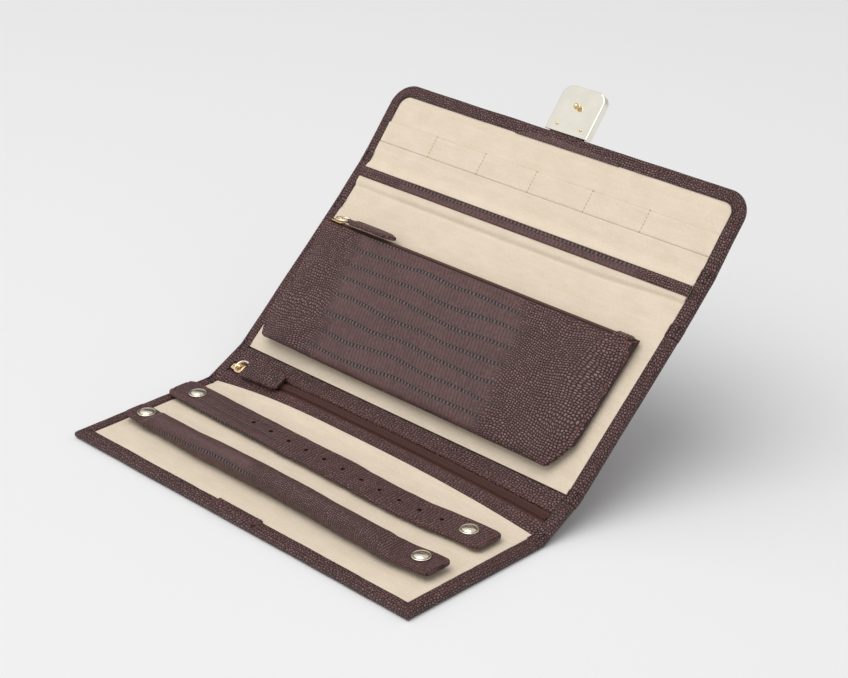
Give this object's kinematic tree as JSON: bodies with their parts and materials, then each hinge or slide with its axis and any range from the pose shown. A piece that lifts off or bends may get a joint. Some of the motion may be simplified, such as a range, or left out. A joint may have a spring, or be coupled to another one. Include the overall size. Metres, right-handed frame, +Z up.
{
  "type": "folding jewellery case",
  "caption": "Folding jewellery case in lizard-grained leather with a suede lining, a ring roll, an earring strap, zipped pockets, a removable pouch and a snap clasp.",
  "frame": {"origin": "middle of the base panel's flat underside", "axes": "+X along the long side, +Y from the base panel's free front edge towards the folds, +Z up"},
  "size_m": [0.24, 0.2511, 0.1532],
  "materials": {
    "lizard_leather": "lizard-grained, satin",
    "suede": "brushed nap, matt",
    "bag_cloth": "woven lining cloth",
    "zip": "woven tape and nylon coil",
    "board": "grey-brown fibreboard",
    "felt": "soft filler",
    "foam": "open foam",
    "gold": "pale gold plate, polished"
  },
  "bodies": {
    "base": {"base_leather": "lizard_leather", "base_board": "board", "base_lining": "suede", "zip_pocket_bag": "bag_cloth", "edge_patch": "lizard_leather", "clasp_keeper": "gold", "keeper_spring": "gold", "base_studs": "gold", "roll_anchor": "lizard_leather", "roll_anchor_cap": "gold", "strap_anchor": "lizard_leather", "strap_anchor_cap": "gold"},
    "ring_roll": {"roll_cover": "lizard_leather", "roll_core": "foam", "roll_cap": "gold", "roll_socket": "gold"},
    "earring_strap": {"earring_strap": "lizard_leather", "strap_cap": "gold", "strap_socket": "gold"},
    "lower_spine": {"lower_spine_leather": "lizard_leather", "lower_spine_felt": "felt", "zip_band_front": "lizard_leather", "zip_band_rear": "lizard_leather", "pocket_zip_tape": "zip", "pocket_zip_coil": "zip"},
    "pocket_slider": {"pocket_zip_slider": "gold"},
    "pocket_pull": {"pocket_pull_ring": "gold", "pocket_pull_tab": "lizard_leather"},
    "back_panel": {"back_leather": "lizard_leather", "back_board": "board", "back_lining": "suede", "slip_pocket": "suede", "pouch_studs": "gold"},
    "upper_spine": {"upper_spine_leather": "lizard_leather", "upper_spine_felt": "felt", "upper_spine_lining": "suede", "binding_strip": "lizard_leather"},
    "flap": {"flap_leather": "lizard_leather", "flap_board": "board", "flap_lining": "suede", "pendant_pocket": "suede", "loop_strip": "suede", "flap_patch": "lizard_leather", "clasp_tongue": "lizard_leather", "clasp_plate": "gold", "clasp_rivets": "gold", "clasp_post": "gold"},
    "pouch": {"pouch_front": "lizard_leather", "pouch_back": "lizard_leather", "pouch_lining": "suede", "pouch_zip_tape": "zip", "pouch_zip_coil": "zip", "pouch_zip_end_tab": "lizard_leather", "pouch_sockets": "gold"},
    "pouch_slider": {"pouch_zip_slider": "gold"},
    "pouch_pull": {"pouch_pull_ring": "gold", "pouch_pull_tab": "lizard_leather"}
  },
  "joints": [
    {"name": "lower_fold", "type": "hinge", "parent": "base", "child": "lower_spine", "pos_m": [0, 0.0435, 0.004], "axis": [-1, 0, 0], "range_deg": [-63, 27]},
    {"name": "back_fold", "type": "hinge", "parent": "lower_spine", "child": "back_panel", "pos_m": [0, 0.06667, 0.0158], "axis": [-1, 0, 0], "range_deg": [-75.5, 14.5]},
    {"name": "upper_fold", "type": "hinge", "parent": "back_panel", "child": "upper_spine", "pos_m": [0, 0.13632, 0.07743], "axis": [-1, 0, 0], "range_deg": [-87.5, 2.5]},
    {"name": "flap_fold", "type": "hinge", "parent": "upper_spine", "child": "flap", "pos_m": [0, 0.15826, 0.09861], "axis": [-1, 0, 0], "range_deg": [-84, 6]},
    {"name": "roll_lift", "type": "hinge", "parent": "base", "child": "ring_roll", "pos_m": [-0.09765, -0.0115, 0.0092], "axis": [0, -1, 0], "range_deg": [0, 110]},
    {"name": "strap_lift", "type": "hinge", "parent": "base", "child": "earring_strap", "pos_m": [-0.09865, 0.0225, 0.0074], "axis": [0, -1, 0], "range_deg": [0, 110]},
    {"name": "pocket_zip", "type": "slide", "parent": "lower_spine", "child": "pocket_slider", "axis": [1, 0, 0], "range_m": [0, 0.17]},
    {"name": "pocket_pull", "type": "hinge", "parent": "pocket_slider", "child": "pocket_pull", "pos_m": [-0.107, 0.0525, 0.01167], "axis": [0, -0.891, -0.454], "range_deg": [0, 120]},
    {"name": "pouch_lift", "type": "slide", "parent": "back_panel", "child": "pouch", "axis": [0, -0.6626, 0.749], "range_m": [0, 0.06]},
    {"name": "pouch_zip", "type": "slide", "parent": "pouch", "child": "pouch_slider", "axis": [1, 0, 0], "range_m": [0, 0.14]},
    {"name": "pouch_pull", "type": "hinge", "parent": "pouch_slider", "child": "pouch_pull", "pos_m": [-0.1025, 0.12392, 0.07616], "axis": [0, -0.9724, 0.2334], "range_deg": [0, 120]}
  ]
}
